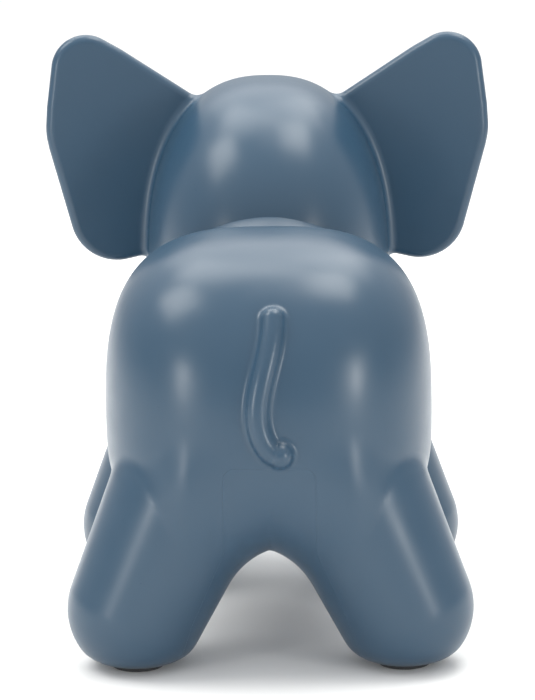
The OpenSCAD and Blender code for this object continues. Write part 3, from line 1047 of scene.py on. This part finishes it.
def eye_frame(side):
    """Eye coordinates: the origin is on the face, and +Z points out of it."""
    a, b, c = HEAD_HALF[0], HEAD_HALF[3], HEAD_HALF[2]
    n = HEAD_POWER
    rest = 1 - (EYE_X / a) ** n - (EYE_UP / c) ** n
    spot = np.array((EYE_X, -b * rest ** (1 / n), EYE_UP))
    out = np.sign(spot) * (np.abs(spot) / (a, b, c)) ** (n - 1) / (a, b, c)
    out[0] *= side
    spot[0] *= side
    turn = Vector(out).normalized().to_track_quat("Z", "Y").to_matrix().to_4x4()
    return Matrix.Translation(Vector(spot + HEAD)) @ turn


def head_hollow(p):
    return head_field(p, -WALL)


def near_ears(p):
    """Where the head needs a finer mesh."""
    return np.abs(ear_field(p)) < EAR_ZONE


def inlay_field(p, grow=0.0):
    """The ear and what is moulded with it: a border of head round its root."""
    return ear_field(p) - EAR_INLAY - grow


# Only the part of the body in front of the first of these places and above the second is cut out of the head
ROOM_BEHIND = HEAD[1] + HEAD_HALF[1] + 3
ROOM_UNDER = HEAD[2] - HEAD_HALF[4] - 3


def body_room(p):
    """The body with a little play, as far as it reaches into the head."""
    body = torso_and_legs(p) - HEAD_PLAY
    return np.maximum(body, np.maximum(p[:, 1] - ROOM_BEHIND, ROOM_UNDER - p[:, 2]))


def below_split(gap):
    """A drum below the plane square to the trunk where it is joined to the face."""
    y, z = trunk_at(TRUNK_SPLIT)
    run = math.cos(TRUNK_SPLIT * math.pi / 2)
    dy = -TRUNK_REACH * (0.25 * math.pi * run + 2.5 * TRUNK_SPLIT ** 4)
    dz = (TIP_Z - TRUNK_ROOT[1]) * math.pi / 2 * run
    at_split = Matrix.Translation((0, y, z)) @ Matrix.Rotation(-math.atan2(-dy, -dz), 4, "X")
    return drum("split", SPLIT_R, -SPLIT_DEPTH, -gap, 64, at_split)


def split_off_ear(solid, side):
    """Cuts the ear of one side out of the head, and returns it."""
    low = (0.0 if side > 0 else -HEAD_BOX_HALF, HEAD[1] - 30, 100.0)
    high = (HEAD_BOX_HALF if side > 0 else 0.0, HEAD[1] + 40, HEAD_BOX_HIGH)
    inlay = to_object("inlay", *skin(inlay_field, low, high, HEAD_STEP))
    ear = combine(copy_of(solid), inlay, "INTERSECT")
    cut(solid, to_object("wider", *skin(lambda p: inlay_field(p, HAIRLINE), low, high, HEAD_STEP)))
    return ear


def eye_seat(side):
    hole_r, stem_r = EYE_R + EYE_PLAY, EYE_STEM_R + STEM_PLAY
    profile = [(0, -10), (stem_r, -10), (stem_r, -EYE_SEAT), (hole_r, -EYE_SEAT), (hole_r, 8), (0, 8)]
    return turned(profile, "seat", 64, eye_frame(side), closed=False)


def build_head():
    low = (-HEAD_BOX_HALF, HEAD[1] - HEAD_HALF[3] - HEAD_BOX_AHEAD, HEAD_BOX_LOW)
    high = (HEAD_BOX_HALF, HEAD[1] + HEAD_HALF[1] + 4, HEAD_BOX_HIGH)
    step = HEAD_STEP
    solid = to_object("solid", *skin(head_and_ears, low, high, step, near_ears, DETAIL))
    ears = {name: split_off_ear(solid, side) for side, name in ((1, "ear_left"), (-1, "ear_right"))}
    cut(solid, to_object("hollow", *skin(head_hollow, low, high, HEAD_HOLLOW_STEP)))
    cut(solid, neck_bore(HAIRLINE, HEAD_BORE_END))
    low = (-66.0, LEGS_Y - FOOT_DY - FOOT_R - 8, ROOM_UNDER - 4)
    high = (66.0, ROOM_BEHIND + 4, RUMP_TOP + 3)
    cut(solid, to_object("room", *skin(body_room, low, high, BODY_ROOM_STEP)))
    trunk = combine(copy_of(solid), below_split(HAIRLINE), "INTERSECT")
    cut(solid, below_split(0.0))
    front = block("front", (-FAR, HEAD[1] - FAR, -FAR), (FAR, HEAD[1] - HAIRLINE, FAR))
    rear = block("rear", (-FAR, HEAD[1], -FAR), (FAR, HEAD[1] + FAR, FAR))
    face = combine(copy_of(solid), front, "INTERSECT")
    combine(solid, rear, "INTERSECT")
    for side in (-1, 1):
        cut(face, eye_seat(side))
    outside, inside = (head_and_ears, 1.0), (head_hollow, -1.0)
    for obj, name in ((solid, "head_rear_shell"), (face, "face_shell"), (trunk, "trunk")):
        polish(obj, outside, inside)
        place(obj, name + "_mould", "body_plastic")
    for name, obj in ears.items():
        # The ears take the lighter copy of the body's blue, which is painted light
        polish(obj, outside, (inlay_field, 1.0))
        place(obj, name + "_mould", "ear_plastic")


def build_eyes():
    dome_r = (EYE_R ** 2 + EYE_DOME ** 2) / (2 * EYE_DOME)
    profile = [(0, -EYE_STEM), (EYE_STEM_R - STEM_BEVEL, -EYE_STEM)]
    profile += [(EYE_STEM_R, -EYE_STEM + STEM_BEVEL), (EYE_STEM_R, 0)]
    for a in np.linspace(math.asin(EYE_R / dome_r), 0, 16):
        profile.append((dome_r * math.sin(a), EYE_DOME - dome_r + dome_r * math.cos(a)))
    for side, name in ((1, "eye_left"), (-1, "eye_right")):
        at_seat = eye_frame(side) @ Matrix.Translation((0, 0, -EYE_SEAT))
        eye = crisp(turned(profile, name, 64, at_seat, closed=False))
        place(eye, name + "_mould", "eye_plastic")


# ---------------------------------------------------------------- neck, stopper and pads


def build_neck():
    inner_r = NECK_R - WALL
    corners = [(inner_r, -NECK_REAR, 0.5), (NECK_R, -NECK_REAR, 0.5)]
    corners += [(NECK_R, NECK_FRONT, 0.8), (inner_r, NECK_FRONT, 0.8)]
    collar = crisp(turned(soften(corners), "neck_collar", 160, neck_frame()))
    place(collar, "neck_collar_mould", "body_plastic")


PLUG_PLAY = 0.05
CAP_T = 1.8
CAP_R = STOPPER_R + 3.0
CUP_R = STOPPER_R - 3.05
CUP_ROOF = 2.0
BAR_HALF = 2.0
BAR_TOP = 3.2
BAR_BEVEL = 0.6


def pull_bar(at_plug):
    """Rounded bar across the hollow of the plug, to grip it by."""
    half = CUP_R + 1
    outline = [(-half, -BAR_HALF), (half, -BAR_HALF), (half, BAR_HALF), (-half, BAR_HALF)]
    bar = prism("bar", outline, -CAP_T, BAR_TOP, axis="z")
    for v in bar.data.vertices:
        v.co += at_plug.translation * MM
    bevel = bar.modifiers.new("bevel", "BEVEL")
    bevel.width = BAR_BEVEL * MM
    bevel.segments = 3
    graph = bpy.context.evaluated_depsgraph_get()
    rounded = bpy.data.meshes.new_from_object(bar.evaluated_get(graph))
    bar.modifiers.clear()
    bar.data = rounded
    return bar


def build_stopper():
    at_land = Matrix.Translation((0, LEGS_Y, LAND_Z))
    seat = [(STOPPER_R, -FLANGE_T, 0.5), (FLANGE_R, -FLANGE_T, 0.7), (FLANGE_R, 0, 0.2), (SEAT_R, 0, 0.0)]
    seat += [(SEAT_R, SEAT_H, 0.4), (STOPPER_R, SEAT_H, 0.4)]
    place(crisp(turned(soften(seat), "stopper_seat", 128, at_land)), "stopper_seat_mould", "trim_plastic")
    plug_r, roof = STOPPER_R - PLUG_PLAY, SEAT_H - CUP_ROOF
    outline = [(0, SEAT_H, 0), (plug_r, SEAT_H, 0.8), (plug_r, 0, 0), (CAP_R, 0, 0.4), (CAP_R, -CAP_T, 0.9)]
    outline += [(CUP_R, -CAP_T, 0.7), (CUP_R, roof, 1.2), (0, roof, 0)]
    at_plug = Matrix.Translation((0, LEGS_Y, LAND_Z - FLANGE_T - PLUG_PLAY))
    plug = turned(soften(outline, closed=False), "stopper_plug", 128, at_plug, closed=False)
    combine(plug, pull_bar(at_plug), "UNION")
    place(crisp(plug), "stopper_plug_mould", "stopper_rubber", body="stopper")


def build_pads():
    profile = soften([(0, 0, 0), (PAD_R, 0, 0.7), (PAD_R, PAD_T, 0.2), (0, PAD_T, 0)], closed=False)
    for name, (x, y) in FEET.items():
        pad = crisp(turned(profile, name, 64, Matrix.Translation((x, y, 0)), closed=False))
        place(pad, "foot_pad_" + name + "_mould", "pad_rubber")


build_body()
build_head()
build_eyes()
build_neck()
place(slot_liner(), "slot_liner_mould", "trim_plastic")
build_stopper()
build_pads()

# ---------------------------------------------------------------- camera, floor and light

# The camera looks at this place on the object from DISTANCE metres, behind it and a little above
TARGET = Vector((0.4, SHIFT_Y - 28.4, 97.5)) * MM
DISTANCE = 1.3632
ELEVATION = math.radians(12.056)
ROLL = math.radians(-0.57)
YAW = math.radians(0.2)
FLOOR_HALF = 30.0


def build_camera():
    camera = bpy.data.cameras.new("camera")
    camera.lens = 199.79
    camera.sensor_width = 36.0
    camera.clip_end = 100.0
    obj = bpy.data.objects.new("camera", camera)
    bpy.context.scene.collection.objects.link(obj)
    spin = Matrix.Rotation(YAW, 3, "Z")
    ahead = spin @ Vector((0, -math.cos(ELEVATION), -math.sin(ELEVATION)))
    right = spin @ Vector((-1, 0, 0))
    up = spin @ Vector((0, -math.sin(ELEVATION), math.cos(ELEVATION)))
    rolled_right = right * math.cos(ROLL) + up * math.sin(ROLL)
    rolled_up = up * math.cos(ROLL) - right * math.sin(ROLL)
    turn = Matrix((rolled_right, rolled_up, -ahead)).transposed().to_4x4()
    obj.matrix_world = Matrix.Translation(TARGET - ahead * DISTANCE) @ turn
    bpy.context.scene.camera = obj


def towards(azimuth, elevation):
    """Unit vector; azimuth is measured from behind the elephant, towards its left side."""
    a, e = math.radians(azimuth), math.radians(elevation)
    return Vector((math.sin(a) * math.cos(e), math.cos(a) * math.cos(e), math.sin(e)))


def soft_box(name, start, end, distance, width, power):
    """Long soft box that runs from one direction to another, seen from the middle of the object."""
    first, last = towards(*start) * distance, towards(*end) * distance
    middle, along = (first + last) / 2, last - first
    light = bpy.data.lights.new(name, "AREA")
    light.shape = "RECTANGLE"
    light.size = along.length
    light.size_y = width
    light.energy = power
    light.color = LIGHT_COLOUR
    obj = bpy.data.objects.new(name, light)
    bpy.context.scene.collection.objects.link(obj)
    back = middle.normalized()
    side = along.normalized()
    turn = Matrix((side, back.cross(side), back)).transposed().to_4x4()
    obj.matrix_world = Matrix.Translation(TARGET + middle) @ turn


def build_floor():
    bm = bmesh.new()
    signs = ((-1, -1), (1, -1), (1, 1), (-1, 1))
    bm.faces.new([bm.verts.new((x * FLOOR_HALF, y * FLOOR_HALF, 0.0)) for x, y in signs])
    mesh = bpy.data.meshes.new("floor")
    bm.to_mesh(mesh)
    bm.free()
    floor = bpy.data.objects.new("floor", mesh)
    bpy.context.scene.collection.objects.link(floor)
    mat = bpy.data.materials.new("floor")
    mat.use_nodes = True
    shader = mat.node_tree.nodes["Principled BSDF"]
    shader.inputs["Base Color"].default_value = (0.9, 0.9, 0.9, 1.0)
    shader.inputs["Roughness"].default_value = 0.9
    floor.data.materials.append(mat)


def build_world():
    """Even studio light, dimmer towards the horizon."""
    world = bpy.data.worlds.new("studio")
    world.use_nodes = True
    nodes, links = world.node_tree.nodes, world.node_tree.links
    direction = nodes.new("ShaderNodeTexCoord")
    parts = nodes.new("ShaderNodeSeparateXYZ")
    strength = nodes.new("ShaderNodeMapRange")
    strength.interpolation_type = "SMOOTHSTEP"
    for key, value in (("From Min", 0.0), ("From Max", 0.8), ("To Min", 0.7), ("To Max", 1.15)):
        strength.inputs[key].default_value = value
    links.new(direction.outputs["Generated"], parts.inputs["Vector"])
    links.new(parts.outputs["Z"], strength.inputs["Value"])
    links.new(strength.outputs["Result"], nodes["Background"].inputs["Strength"])
    nodes["Background"].inputs["Color"].default_value = (1.0, 1.0, 1.0, 1.0)
    bpy.context.scene.world = world


LIGHT_COLOUR = (1.0, 1.0, 0.97)
# Name, the [azimuth, elevation] in degrees of its two ends, distance and width in metres, and watts
SOFT_BOXES = (
    ("ceiling", (180.0, 28.0), (180.0, 78.0), 1.2, 1.0, 4.0),
    ("flank_left", (64.0, 50.0), (108.0, 54.0), 1.1, 0.5, 4.9),
    ("flank_right", (-65.0, 68.0), (-135.0, 68.0), 1.1, 0.45, 4.6),
    ("front_left", (118.0, 66.0), (172.0, 60.0), 1.1, 0.6, 2.6),
    ("front_right", (-128.0, 56.0), (-170.0, 46.0), 1.1, 0.5, 1.6),
    ("strip_left", (44.0, -2.0), (44.0, 14.0), 1.0, 0.13, 1.8),
    ("strip_right", (-46.0, -2.0), (-46.0, 14.0), 1.0, 0.13, 2.1),
)

bpy.context.scene.view_settings.view_transform = "Standard"
build_camera()
build_floor()
build_world()
for box in SOFT_BOXES:
    soft_box(*box)
bpy.context.view_layer.update()
